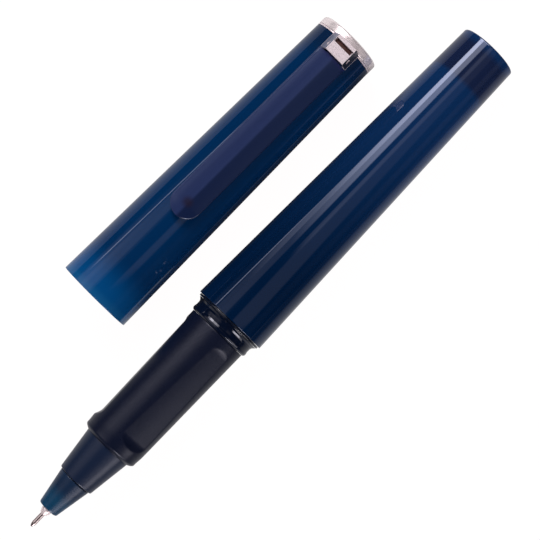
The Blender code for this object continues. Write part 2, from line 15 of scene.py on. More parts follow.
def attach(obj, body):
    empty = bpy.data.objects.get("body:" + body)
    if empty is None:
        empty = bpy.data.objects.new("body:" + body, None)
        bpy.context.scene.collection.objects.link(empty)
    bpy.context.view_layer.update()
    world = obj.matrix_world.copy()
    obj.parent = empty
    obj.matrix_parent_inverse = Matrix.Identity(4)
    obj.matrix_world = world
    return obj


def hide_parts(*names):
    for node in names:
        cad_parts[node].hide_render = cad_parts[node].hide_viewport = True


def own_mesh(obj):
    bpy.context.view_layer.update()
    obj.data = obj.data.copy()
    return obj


MM = 0.001
SEGMENTS = 192

# where the record's barrel_unscrew and cap_top lie along the pen and the cap
HINGE_STATION = 52.2
CAP_END_STATION = 66.2
CLIP_ROLL = math.radians(5.37)

THREAD_PITCH = 1.5
THREAD_ROOT_WIDTH = 0.62
THREAD_CREST_WIDTH = 0.3

# the finger flats of the grip: ends, distance from the axis at each end, and the scoops
FLAT_FRONT_Z, FLAT_REAR_Z = 22.4, 47.4
FLAT_FRONT_DEPTH, FLAT_REAR_DEPTH = 5.39, 5.78
FRONT_SCOOP, REAR_SCOOP = 2.1, 1.6
FLAT_MIDDLES = (35, 155, 275)

# the clip: its pin's place along the cap and height over the axis, and its contact nub
PIN_STATION = 62.15
PIN_HEIGHT = 8.1
NUB_STATION = 24.0

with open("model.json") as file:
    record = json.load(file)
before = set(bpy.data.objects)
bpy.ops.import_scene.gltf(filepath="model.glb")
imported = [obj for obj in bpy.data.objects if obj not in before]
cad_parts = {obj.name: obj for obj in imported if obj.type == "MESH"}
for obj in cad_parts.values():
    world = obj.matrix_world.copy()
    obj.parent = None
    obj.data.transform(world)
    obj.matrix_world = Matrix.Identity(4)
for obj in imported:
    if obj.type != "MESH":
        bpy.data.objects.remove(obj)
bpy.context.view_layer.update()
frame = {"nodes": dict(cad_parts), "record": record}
record = frame["record"]


# ---------------------------------------------------------------- frames of pen and cap

def axis_frame(point, axis, station):
    """A frame whose Z is the axis and whose X points up; point is at that station in mm."""
    z = Vector(axis).normalized()
    x = (Vector((0, 0, 1)) - z * z.z).normalized()
    y = z.cross(x)
    origin = Vector(point) - z * station * MM
    turn = Matrix((x, y, z)).transposed().to_4x4()
    return Matrix.Translation(origin) @ turn


joints = {joint["name"]: joint for joint in record["behaviour"]["joints"]}
mounts = {mount["name"]: mount for mount in record["mounts"]}
PEN = axis_frame(joints["barrel_unscrew"]["pos_m"], joints["barrel_unscrew"]["axis"], HINGE_STATION)
CAP = axis_frame(mounts["cap_top"]["pos_m"], mounts["cap_top"]["axis"], CAP_END_STATION)
CLIP = CAP @ Matrix.Rotation(CLIP_ROLL, 4, "Z")


# ---------------------------------------------------------------- mesh helpers

def rounded(points, steps=5):
    """The outline with its corners rounded. A point is (z, r) or (z, r, radius)."""
    corners = [Vector(p[:2]) for p in points]
    radii = [p[2] if len(p) > 2 else 0.0 for p in points]
    out = [tuple(corners[0])]
    for before, corner, after, radius in zip(corners, corners[1:], corners[2:], radii[1:]):
        a = before - corner
        b = after - corner
        turn = math.pi - a.angle(b)
        if radius <= 0 or turn < 0.02:
            out.append(tuple(corner))
            continue
        reach = min(radius * math.tan(turn / 2), 0.45 * a.length, 0.45 * b.length)
        start = corner + a.normalized() * reach
        end = corner + b.normalized() * reach
        for i in range(steps + 1):
            t = i / steps
            out.append(tuple((1 - t) ** 2 * start + 2 * t * (1 - t) * corner + t * t * end))
    out.append(tuple(corners[-1]))
    return out


def shade(mesh, angle=35):
    mesh.shade_smooth()
    mesh.set_sharp_from_angle(angle=math.radians(angle))


def place(name, mesh, matrix, material, nodes=(), *, body):
    """Puts a mesh in the scene on a body, in place of those CAD nodes."""
    obj = bpy.data.objects.new(name, mesh)
    bpy.context.scene.collection.objects.link(obj)
    obj.matrix_world = matrix
    mesh.materials.append(material)
    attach(obj, body)
    if nodes:
        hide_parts(*nodes)


def grid_mesh(name, rings, closed_ends=True):
    """A tube through rings of equally many points; its two ends are closed or joined."""
    bm = bmesh.new()
    loops = [[bm.verts.new(Vector(p) * MM) for p in ring] for ring in rings]
    pairs = list(zip(loops, loops[1:]))
    if not closed_ends:
        pairs.append((loops[-1], loops[0]))
    for a, b in pairs:
        for i in range(len(a)):
            j = (i + 1) % len(a)
            bm.faces.new((a[i], a[j], b[j], b[i]))
    if closed_ends:
        bm.faces.new(loops[0])
        bm.faces.new(loops[-1])
    bmesh.ops.recalc_face_normals(bm, faces=bm.faces)
    mesh = bpy.data.meshes.new(name)
    bm.to_mesh(mesh)
    bm.free()
    return mesh


def supported(outline):
    """The outline with extra points along its long stretches, so that they shade true."""
    out = [outline[0]]
    for (z0, r0), (z1, r1) in zip(outline, outline[1:]):
        length = math.hypot(z1 - z0, r1 - r0)
        if length > 1.0:
            parts = math.ceil(length / 4.0)
            shares = [0.1 / length] + [i / parts for i in range(1, parts)] + [1 - 0.1 / length]
            out += [(z0 + (z1 - z0) * t, r0 + (r1 - r0) * t) for t in shares]
        out.append((z1, r1))
    return out


def turned(name, outer, inner=None, segments=SEGMENTS, angle=35):
    """A turned mesh: outer and inner outlines run front to back, as lists of (z, r)."""
    loop = supported(outer) + list(reversed(inner or []))
    bm = bmesh.new()
    turns = [2 * math.pi * i / segments for i in range(segments)]
    columns = [(math.cos(turn), math.sin(turn)) for turn in turns]
    rings = []
    for z, r in loop:
        if r < 1e-6:
            rings.append([bm.verts.new(Vector((0, 0, z)) * MM)])
        else:
            rings.append([bm.verts.new(Vector((r * c, r * s, z)) * MM) for c, s in columns])
    pairs = list(zip(rings, rings[1:]))
    if inner and len(rings[0]) > 1 and len(rings[-1]) > 1:
        pairs.append((rings[-1], rings[0]))
    for a, b in pairs:
        for i in range(segments):
            j = (i + 1) % segments
            if len(a) == len(b) == 1:
                continue
            if len(a) == 1:
                bm.faces.new((a[0], b[j], b[i]))
            elif len(b) == 1:
                bm.faces.new((a[i], a[j], b[0]))
            else:
                bm.faces.new((a[i], a[j], b[j], b[i]))
    bmesh.ops.recalc_face_normals(bm, faces=bm.faces)
    mesh = bpy.data.meshes.new(name)
    bm.to_mesh(mesh)
    bm.free()
    shade(mesh, angle)
    return mesh


def helix(name, root, crest, start_z, turns):
    """The thread's ridge, sunk a little into the wall that it stands on."""
    per_turn = 64
    run_out = 8
    sink = 0.1
    steps = int(per_turn * turns)
    sunk = root - math.copysign(sink, crest - root)
    rings = []
    for i in range(steps + 1):
        turn = 2 * math.pi * i / per_turn
        z = start_z + THREAD_PITCH * i / per_turn
        rise = min(1.0, i / run_out, (steps - i) / run_out)
        tip = root + (crest - root) * rise
        corners = [
            (sunk, -THREAD_ROOT_WIDTH / 2), (tip, -THREAD_CREST_WIDTH / 2),
            (tip, THREAD_CREST_WIDTH / 2), (sunk, THREAD_ROOT_WIDTH / 2),
        ]
        rings.append([(r * math.cos(turn), r * math.sin(turn), z + offset) for r, offset in corners])
    mesh = grid_mesh(name, rings)
    shade(mesh)
    return mesh


# ---------------------------------------------------------------- material helpers

def new_material(name, **sockets):
    """A material with one Principled BSDF; keywords set its sockets."""
    mat = bpy.data.materials.new(name)
    mat.use_nodes = True
    shader = mat.node_tree.nodes["Principled BSDF"]
    for key, value in sockets.items():
        socket = shader.inputs[key.replace("_", " ")]
        if isinstance(value, tuple) and len(value) == 3 and socket.type == "RGBA":
            value = (*value, 1.0)
        socket.default_value = value
    return mat, mat.node_tree, shader


def add(tree, kind, **values):
    node = tree.nodes.new(kind)
    for key, value in values.items():
        setattr(node, key, value)
    return node


def feed(tree, node, *inputs):
    """Connects or sets the inputs of a node, in order; None leaves one as it is."""
    for socket, value in zip(node.inputs, inputs):
        if value is None:
            continue
        if isinstance(value, bpy.types.NodeSocket):
            tree.links.new(value, socket)
        else:
            socket.default_value = value
    return node.outputs[0]


def math_node(tree, operation, *inputs):
    return feed(tree, add(tree, "ShaderNodeMath", operation=operation), *inputs)


def times(tree, first, *others):
    """The product of two or more values."""
    product = first
    for factor in others:
        product = math_node(tree, "MULTIPLY", product, factor)
    return product


def step_between(tree, value, low, high):
    """0 below low and 1 above high, smooth between; low may be above high to turn it round."""
    node = add(tree, "ShaderNodeMapRange", interpolation_type="SMOOTHSTEP")
    if low <= high:
        return feed(tree, node, value, low, high, 0.0, 1.0)
    return feed(tree, node, value, high, low, 1.0, 0.0)


def mix_colour(tree, factor, a, b):
    node = add(tree, "ShaderNodeMix", data_type="RGBA")
    for index, value in ((0, factor), (6, a), (7, b)):
        socket = node.inputs[index]
        if isinstance(value, bpy.types.NodeSocket):
            tree.links.new(value, socket)
        elif isinstance(value, tuple):
            socket.default_value = (*value, 1.0)
        else:
            socket.default_value = value
    return node.outputs[2]


def local_axes(tree):
    """The X, Y and Z of the piece's own frame, in millimetres."""
    where = add(tree, "ShaderNodeTexCoord")
    scaled = add(tree, "ShaderNodeVectorMath", operation="SCALE")
    tree.links.new(where.outputs["Object"], scaled.inputs[0])
    scaled.inputs["Scale"].default_value = 1 / MM
    split = add(tree, "ShaderNodeSeparateXYZ")
    tree.links.new(scaled.outputs[0], split.inputs[0])
    return scaled.outputs[0], split.outputs["X"], split.outputs["Y"], split.outputs["Z"]


def noise(tree, vector, scale, detail=2.0, stretch=None):
    if stretch:
        mapping = add(tree, "ShaderNodeMapping")
        tree.links.new(vector, mapping.inputs["Vector"])
        mapping.inputs["Scale"].default_value = stretch
        vector = mapping.outputs[0]
    node = add(tree, "ShaderNodeTexNoise")
    tree.links.new(vector, node.inputs["Vector"])
    node.inputs["Scale"].default_value = scale
    node.inputs["Detail"].default_value = detail
    return node.outputs["Fac"]


def bump(tree, shader, height, strength, distance):
    node = add(tree, "ShaderNodeBump")
    node.inputs["Strength"].default_value = strength
    node.inputs["Distance"].default_value = distance
    tree.links.new(height, node.inputs["Height"])
    tree.links.new(node.outputs[0], shader.inputs["Normal"])


def remap(tree, value, low, high, to_low, to_high):
    return feed(tree, add(tree, "ShaderNodeMapRange"), value, low, high, to_low, to_high)


# ---------------------------------------------------------------- materials

# the light inside the translucent resin makes its reflections look bluish
RESIN = dict(Roughness=0.03, IOR=1.5, Specular_IOR_Level=0.78, Specular_Tint=(0.68, 0.77, 1.0))


def barrel_resin():
    """Dark at the section, paler towards the tail, and smoky where the plug shows through."""
    mat, tree, shader = new_material("barrel_resin", **RESIN)
    vector, _, _, z = local_axes(tree)
    clouds = noise(tree, vector, 0.12, 3.0, (1.0, 1.0, 0.15))
    paler = times(tree, step_between(tree, z, 58.0, 108.0), 0.9)
    wall = math_node(tree, "ADD", paler, times(tree, clouds, 0.15))
    base = mix_colour(tree, wall, (0.0001, 0.0068, 0.027), (0.0035, 0.0215, 0.078))
    plug = times(tree, step_between(tree, z, 111.2, 112.6), step_between(tree, z, 119.9, 118.0))
    base = mix_colour(tree, plug, base, (0.0065, 0.0125, 0.041))
    tree.links.new(base, shader.inputs["Base Color"])
    fine = noise(tree, vector, 3.0, 4.0)
    tree.links.new(remap(tree, fine, 0.3, 0.8, 0.02, 0.045), shader.inputs["Roughness"])
    return mat


def cap_resin():
    """Painted light at the thin mouth, standing in for light shining through the wall there; smoky where
    the inside of the closed end shows through.
    """
    mat, tree, shader = new_material("cap_resin", **RESIN)
    vector, _, _, z = local_axes(tree)
    clouds = noise(tree, vector, 0.1, 3.0, (1.0, 1.0, 0.15))
    base = mix_colour(tree, clouds, (0.0004, 0.0175, 0.066), (0.001, 0.0215, 0.077))
    # painted light: towards the mouth the colour turns paler and bluer, as if light shone through the thin
    # wall
    base = mix_colour(tree, step_between(tree, z, 9.0, 2.0), base, (0.001, 0.047, 0.155))
    base = mix_colour(tree, step_between(tree, z, 2.2, 0.4), base, (0.005, 0.066, 0.18))
    base = mix_colour(tree, step_between(tree, z, 57.0, 63.0), base, (0.003, 0.014, 0.045))
    tree.links.new(base, shader.inputs["Base Color"])
    fine = noise(tree, vector, 3.0, 4.0)
    tree.links.new(remap(tree, fine, 0.3, 0.8, 0.02, 0.045), shader.inputs["Roughness"])
    return mat


def clip_resin():
    """Violet-blue with painted shade on its right half, darker at the root and over the contact nub."""
    mat, tree, shader = new_material(
        "clip_resin", Roughness=0.2, IOR=1.5, Specular_IOR_Level=0.45, Specular_Tint=(0.7, 0.8, 1.0),
    )
    vector, _, y, z = local_axes(tree)
    streaks = noise(tree, vector, 0.9, 2.0, (1.0, 1.0, 0.03))
    base = mix_colour(tree, streaks, (0.012, 0.02, 0.066), (0.017, 0.028, 0.088))
    # painted shade: the right half is darker, against the left half that stands in for mirroring the
    # overhead box
    base = mix_colour(tree, step_between(tree, y, -0.1, 0.5), base, (0.005, 0.0105, 0.038))
    root = step_between(tree, z, -2.5, -1.0)
    base = mix_colour(tree, root, base, (0.008, 0.008, 0.05))
    along = math_node(tree, "SUBTRACT", z, NUB_STATION - PIN_STATION)
    squares = math_node(tree, "ADD", math_node(tree, "POWER", along, 2.0), math_node(tree, "POWER", y, 2.0))
    from_nub = math_node(tree, "SQRT", squares)
    nub = times(tree, step_between(tree, from_nub, 1.5, 0.2), 0.75)
    base = mix_colour(tree, nub, base, (0.012, 0.008, 0.018))
    tree.links.new(base, shader.inputs["Base Color"])
    return mat


def smoke_cone():
    """The nose cone: blue where it is hollow, smokier towards the section."""
    mat, tree, shader = new_material(
        "smoke_cone", Roughness=0.3, Specular_IOR_Level=0.4, Specular_Tint=(0.88, 0.9, 1.0),
    )
    vector, _, _, z = local_axes(tree)
    smoke = step_between(tree, z, 6.4, 9.4)
    base = mix_colour(tree, smoke, (0.003, 0.034, 0.076), (0.005, 0.013, 0.034))
    patches = noise(tree, vector, 0.5, 2.0)
    base = mix_colour(tree, times(tree, patches, 0.25), base, (0.004, 0.03, 0.08))
    tree.links.new(base, shader.inputs["Base Color"])
    bump(tree, shader, noise(tree, vector, 14.0, 3.0), 0.12, 0.00005)
    return mat


def section_plastic():
    """The core: satin on its front cone, polished at the lip and the groove."""
    mat, tree, shader = new_material(
        "section_plastic", Specular_IOR_Level=0.42, Specular_Tint=(0.88, 0.9, 1.0),
    )
    vector, _, _, z = local_axes(tree)
    polish = step_between(tree, z, 47.5, 48.6)
    base = mix_colour(tree, polish, (0.005, 0.0105, 0.029), (0.0015, 0.003, 0.01))
    tint = noise(tree, vector, 0.4, 2.0)
    base = mix_colour(tree, times(tree, tint, 0.2), base, (0.003, 0.012, 0.035))
    tree.links.new(base, shader.inputs["Base Color"])
    tree.links.new(remap(tree, polish, 0.0, 1.0, 0.3, 0.08), shader.inputs["Roughness"])
    grain = noise(tree, vector, 12.0, 3.0)
    matte = times(tree, grain, math_node(tree, "SUBTRACT", 1.0, polish))
    bump(tree, shader, matte, 0.12, 0.00005)
    return mat


def grip_matte():
    mat, tree, shader = new_material(
        "grip_matte", Specular_IOR_Level=0.3, Specular_Tint=(0.86, 0.88, 1.0),
    )
    vector, _, _, _ = local_axes(tree)
    mottle = noise(tree, vector, 0.35, 3.0)
    base = mix_colour(tree, mottle, (0.0018, 0.0036, 0.0125), (0.0032, 0.0052, 0.0165))
    tree.links.new(base, shader.inputs["Base Color"])
    grain = noise(tree, vector, 9.0, 4.0)
    tree.links.new(remap(tree, grain, 0.3, 0.7, 0.26, 0.34), shader.inputs["Roughness"])
    bump(tree, shader, noise(tree, vector, 16.0, 3.0), 0.15, 0.00006)
    return mat


def collar_plastic():
    mat, tree, shader = new_material("collar_plastic", Roughness=0.12, Specular_IOR_Level=0.6)
    vector, _, _, _ = local_axes(tree)
    tone = noise(tree, vector, 0.5, 2.0)
    base = mix_colour(tree, tone, (0.0015, 0.0035, 0.011), (0.003, 0.006, 0.016))
    tree.links.new(base, shader.inputs["Base Color"])
    return mat


def steel(name, colour, rough_low, rough_high, lines=(1.0, 1.0, 12.0), metal=1.0):
    """Turned or pressed steel; lines stretches the fine grooves across the lathe's feed."""
    mat, tree, shader = new_material(name, Metallic=metal)
    vector, _, _, _ = local_axes(tree)
    tone = noise(tree, vector, 0.8, 2.0)
    base = mix_colour(tree, tone, tuple(0.92 * c for c in colour), colour)
    tree.links.new(base, shader.inputs["Base Color"])
    grooves = noise(tree, vector, 2.5, 3.0, lines)
    tree.links.new(remap(tree, grooves, 0.3, 0.7, rough_low, rough_high), shader.inputs["Roughness"])
    bump(tree, shader, grooves, 0.02, 0.00002)
    return mat


def dot_product(tree, vector, direction):
    node = add(tree, "ShaderNodeVectorMath", operation="DOT_PRODUCT")
    tree.links.new(vector, node.inputs[0])
    node.inputs[1].default_value = tuple(direction)
    return node.outputs["Value"]


def paint_flank_shade(mat):
    """The bracket is bright on top only: its flanks, above the foot, carry painted shade for the dark room
    that they mirror, one more than the other.
    """
    tree = mat.node_tree
    shader = tree.nodes["Principled BSDF"]
    top = shader.inputs["Base Color"].links[0].from_socket
    where = add(tree, "ShaderNodeTexCoord")
    outward, sideways, _ = CLIP.to_3x3().col
    lean = dot_product(tree, where.outputs["Normal"], sideways)
    height = dot_product(tree, where.outputs["Object"], outward)
    foot = outward.dot(CLIP.translation) + 5.8 * MM
    raised = step_between(tree, height, foot, foot + 0.2 * MM)
    left = times(tree, step_between(tree, lean, -0.5, -0.8), raised)
    right = times(tree, step_between(tree, lean, 0.5, 0.8), raised)
    # painted shade on the flanks: grey-blue on the left, nearly black on the right
    base = mix_colour(tree, left, top, (0.2, 0.21, 0.3))
    base = mix_colour(tree, right, base, (0.012, 0.018, 0.04))
    tree.links.new(base, shader.inputs["Base Color"])


def plain_plastic(name, colour, roughness):
    mat, tree, shader = new_material(name, Roughness=roughness)
    vector, _, _, _ = local_axes(tree)
    tone = noise(tree, vector, 0.6, 3.0)
    base = mix_colour(tree, tone, tuple(0.8 * c for c in colour), colour)
    tree.links.new(base, shader.inputs["Base Color"])
    bump(tree, shader, noise(tree, vector, 10.0, 3.0), 0.1, 0.00004)
    return mat


def fibre():
    """The ink-soaked fibre rods: fine strands along the axis."""
    mat, tree, shader = new_material("ink_fibre", Roughness=0.9)
    vector, _, _, _ = local_axes(tree)
    strands = noise(tree, vector, 6.0, 4.0, (1.0, 1.0, 0.05))
    base = mix_colour(tree, strands, (0.01, 0.012, 0.12), (0.03, 0.04, 0.3))
    tree.links.new(base, shader.inputs["Base Color"])
    bump(tree, shader, strands, 0.4, 0.0001)
    return mat


BARREL_RESIN = barrel_resin()
CAP_RESIN = cap_resin()
CLIP_RESIN = clip_resin()
SMOKE_CONE = smoke_cone()
SECTION = section_plastic()
GRIP = grip_matte()
COLLAR = collar_plastic()
RING_STEEL = steel("ring_steel", (1.0, 0.9, 0.91), 0.2, 0.28, metal=0.6)
BRACKET_STEEL = steel("bracket_steel", (1.0, 0.88, 0.92), 0.25, 0.35, (1.0, 8.0, 1.0), metal=0.6)
paint_flank_shade(BRACKET_STEEL)
PIN_STEEL = steel("pin_steel", (0.012, 0.014, 0.025), 0.45, 0.55, metal=0.9)
# dark brown: painted shade in the bracket's slit, with a warm painted reflection
LEAF_SHADED_STEEL = steel("leaf_steel_painted_shade", (0.16, 0.075, 0.065), 0.3, 0.4, (1.0, 8.0, 1.0), metal=0.6)
TIP_STEEL = steel("tip_steel", (0.66, 0.55, 0.55), 0.2, 0.3)
CONE_STEEL = steel("tip_cone_steel", (0.95, 0.82, 0.83), 0.28, 0.36, metal=0.6)
BALL_STEEL = steel("ball_steel", (0.2, 0.15, 0.16), 0.1, 0.16, (1.0, 1.0, 1.0))
WIRE_STEEL = steel("wire_steel", (0.7, 0.7, 0.7), 0.25, 0.35, (1.0, 1.0, 1.0))
SMOKE = plain_plastic("smoke_plastic", (0.02, 0.035, 0.07), 0.35)
LINER = plain_plastic("liner_plastic", (0.01, 0.06, 0.16), 0.35)
WHITE = plain_plastic("refill_plastic", (0.75, 0.75, 0.72), 0.4)
FIBRE = fibre()


# ---------------------------------------------------------------- pen

def build_barrel():
    outer = rounded(
        [(51.85, 6.9), (51.85, 7.5, 0.1), (119.5, 5.81), (120.3, 5.81, 0.8), (120.3, 4.6)],
        steps=8,
    )
    outer += [(120.3, 0.0)]
    inner = rounded(
        [
            (51.85, 6.9), (51.85, 6.25, 0.1), (53.95, 6.25), (53.95, 5.9), (62.9, 5.9),
            (63.2, 5.6), (117.4, 4.2),
        ]
    )
    inner += [(117.4, 0.0)]
    mesh = turned("barrel_shell", outer, inner[1:], angle=50)
    place("barrel_shell", mesh, PEN, BARREL_RESIN, ["barrel"], body="barrel")
    thread = helix("barrel_thread", root=5.9, crest=5.35, start_z=56.15, turns=3.4)
    place("barrel_thread", thread, PEN, BARREL_RESIN, body="barrel")


def build_collar():
    outer = rounded(
        [
            (51.37, 6.0), (51.37, 7.15, 0.12), (51.77, 7.15, 0.08), (51.77, 6.15),
            (53.65, 6.15, 0.1), (53.65, 5.9),
        ]
    )
    inner = [(51.37, 5.68), (53.65, 5.68)]
    place("collar_step", turned("collar_step", outer, inner), PEN, COLLAR, ["collar_ring"], body="collar")


def build_core():
    outer = rounded(
        [
            (11.6, 3.2), (11.6, 3.69, 0.25), (19.9, 4.8), (48.65, 4.8),
            (48.65, 6.1, 0.15), (48.95, 6.44, 0.3), (49.35, 6.46, 0.4), (49.75, 6.36, 0.3),
            (50.5, 6.36, 0.3), (50.85, 6.5, 0.2), (51.3, 6.97, 0.06), (51.3, 5.6), (53.75, 5.6, 0.05),
            (53.75, 5.2), (60.7, 5.2), (61.2, 4.8),
        ]
    )
    inner = [(11.6, 3.0), (15.6, 3.0), (15.6, 2.7), (21.0, 2.7), (21.0, 3.1), (61.2, 3.1)]
    place("core_body", turned("core_body", outer, inner), PEN, SECTION, ["section_core"], body="section")
    thread = helix("core_thread", root=5.2, crest=5.75, start_z=55.4, turns=3.0)
    place("core_thread", thread, PEN, SECTION, body="section")


def smooth(t):
    t = min(1.0, max(0.0, t))
    return t * t * (3 - 2 * t)


def flat_depth(z):
    """Distance of a finger flat's middle from the axis: a slope with a scoop at either end."""
    start = FLAT_FRONT_Z + FRONT_SCOOP
    end = FLAT_REAR_Z - REAR_SCOOP
    depth = FLAT_FRONT_DEPTH + (FLAT_REAR_DEPTH - FLAT_FRONT_DEPTH) * (z - start) / (end - start)
    depth += 0.75 * max(0.0, 1 - (z - FLAT_FRONT_Z) / FRONT_SCOOP) ** 2
    depth += 0.5 * max(0.0, 1 - (FLAT_REAR_Z - z) / REAR_SCOOP) ** 2
    return depth


def sleeve_radius(z):
    """The grip's outline: a round front edge, a short swell, then nearly straight."""
    if z < 20.75:
        t = (z - 20.0) / 0.75
        return 4.98 + (5.80 - 4.98) * math.sin(t * math.pi / 2) ** 0.9
    if z < 23.0:
        return 5.80 + 0.14 * smooth((z - 20.75) / 2.25)
    return 5.94 + 0.08 * (z - 23.0) / 25.7


def with_flats(radius, turn, z):
    """The grip's radius there after the finger flats, whose edges are blended a little."""
    crown = 1.8
    blend = 0.05
    if not FLAT_FRONT_Z < z < FLAT_REAR_Z:
        return radius
    for middle in FLAT_MIDDLES:
        away = (turn - math.radians(middle) + math.pi) % (2 * math.pi) - math.pi
        if abs(away) < 1.2:
            flat = flat_depth(z) / math.cos(away) - crown * (1 / math.cos(away) - 1)
            lift = max(blend - abs(radius - flat), 0.0) / blend
            radius = min(radius, flat) - lift * lift * blend / 4
    return radius


def build_sleeve():
    """The grip with its three finger flats, cut into the round as smooth scoops."""
    front, rear = 20.0, 48.62
    rear_edge = 0.05
    bore = 4.9
    turns = [2 * math.pi * i / 288 for i in range(288)]
    stations = [front + 0.05 * i for i in range(16)] + [20.9 + 0.16 * i for i in range(173)]
    rings = []
    for z in stations + [48.56, rear]:
        base = sleeve_radius(min(z, 48.5)) - (rear_edge if z == rear else 0.0)
        ring = []
        for turn in turns:
            radius = with_flats(base, turn, z)
            ring.append((radius * math.cos(turn), radius * math.sin(turn), z))
        rings.append(ring)
    for z in (rear, front):
        rings.append([(bore * math.cos(turn), bore * math.sin(turn), z) for turn in turns])
    mesh = grid_mesh("grip_surface", rings, closed_ends=False)
    shade(mesh, 50)
    place("grip_surface", mesh, PEN, GRIP, ["grip_sleeve"], body="section")


def build_nose():
    outer = rounded(
        [
            (4.35, 1.3), (4.35, 1.76, 0.08), (4.45, 1.96, 0.1), (4.65, 2.06, 0.15),
            (11.45, 3.31, 0.12), (11.45, 2.9), (15.4, 2.9),
        ]
    )
    inner = [(4.35, 1.2), (5.3, 1.2), (5.9, 1.55), (9.2, 1.55), (9.2, 2.1), (15.4, 2.1)]
    place("nose_shell", turned("nose_shell", outer, inner), PEN, SMOKE_CONE, ["nose_cone"], body="section")


def build_tip():
    outer = rounded(
        [
            (3.15, 0.55), (3.15, 0.66, 0.04), (3.9, 1.0, 0.15), (5.4, 1.0), (6.1, 1.4), (9.2, 1.4),
            (9.2, 1.25), (11.5, 1.25),
        ]
    )
    inner = [(3.15, 0.51), (5.6, 0.51), (5.6, 0.6), (11.5, 0.6)]
    shoulder = turned("tip_shoulder", outer, inner, segments=96)
    place("tip_shoulder", shoulder, PEN, CONE_STEEL, ["tip_cone"], body="refill")
    outer = rounded([(0.3, 0.30), (0.3, 0.34, 0.02), (0.85, 0.46, 0.2), (5.5, 0.46)])
    inner = [(0.3, 0.29), (0.56, 0.29), (0.7, 0.16), (5.5, 0.16)]
    needle = turned("needle", outer, inner, segments=64)
    place("needle", needle, PEN, TIP_STEEL, ["needle_tube"], body="refill")
    # the ball, with the small facet that writing wears on it
    radius = 0.25
    arc = [math.radians(18 + 9 * i) for i in range(18)]
    outline = [(radius - radius * math.cos(turn), radius * math.sin(turn)) for turn in arc]
    outline = [(0.0098, 0.0)] + outline + [(2 * radius, 0.0)]
    ball = turned("tip_ball", outline, segments=64, angle=60)
    place("tip_ball", ball, PEN, BALL_STEEL, ["writing_ball"], body="refill")


# ---------------------------------------------------------------- cap

def cap_bore(z):
    """Radius of the cap's tapered bore."""
    start_z, end_z = 4.0, 57.8
    start_radius, end_radius = 6.65, 5.6
    return start_radius + (end_radius - start_radius) * (z - start_z) / (end_z - start_z)


def build_cap_shell():
    outer = rounded([(0.0, 7.35), (0.0, 7.5, 0.12), (64.2, 6.4, 0.05), (64.2, 6.0)])
    inner = rounded(
        [
            (0.0, 7.35), (0.0, 7.2, 0.08), (0.6, 7.2), (0.9, 6.75, 0.1), (1.5, 6.55, 0.2),
            (1.9, 6.43, 0.25), (2.3, 6.6, 0.2), (4.0, 6.65), (57.8, 5.6), (58.4, 4.5),
            (64.2, 4.5), (64.2, 6.0),
        ]
    )
    mesh = turned("cap_body", outer, inner[1:-1], angle=50)
    place("cap_body", mesh, CAP, CAP_RESIN, ["cap_shell"], body="cap")


def build_cap_inside():
    start, end = 32.5, 57.5
    outer = rounded(
        [
            (start, 5.6), (start, cap_bore(start) - 0.2, 0.1),
            (end - 0.4, cap_bore(end) - 0.1), (end, cap_bore(end) - 0.5),
        ]
    )
    outer += [(end, 0.0)]
    inner = [(start, 5.45), (start + 1.0, 5.2), (end - 1.2, 4.6), (end - 1.2, 0.0)]
    place("inner_cap", turned("inner_cap", outer, inner), CAP, LINER, ["cap_liner"], body="cap")


def build_cap_end():
    outer = rounded([(64.65, 5.2), (64.65, 6.42, 0.08), (66.3, 6.42, 0.55), (66.3, 5.0)], steps=8)
    inner = [(64.65, 4.95), (66.3, 4.95)]
    place("end_ring", turned("end_ring", outer, inner), CAP, RING_STEEL, ["cap_top_ring"], body="cap")
    face = rounded(
        [(58.6, 4.2), (59.0, 4.4), (64.65, 4.4), (64.65, 4.85), (66.2, 4.85, 0.3), (66.2, 3.9)]
    )
    outer = [(58.6, 0.0)] + face + [(66.2, 0.0)]
    place("end_plug", turned("end_plug", outer), CAP, SMOKE, ["cap_top_plug"], body="cap")


# ---------------------------------------------------------------- clip

def stadium(half, end_centre, root_z, height, steps=40, sides=24):
    """A closed loop: straight sides and a round end at the front, square at the root."""
    points = []
    for i in range(sides):
        z = root_z + (end_centre - root_z) * i / sides
        points.append((height, half, z))
    for i in range(steps + 1):
        turn = math.pi / 2 + math.pi * i / steps
        points.append((height, half * math.sin(turn), end_centre + half * math.cos(turn)))
    for i in range(1, sides + 1):
        z = end_centre + (root_z - end_centre) * i / sides
        points.append((height, -half, z))
    return points


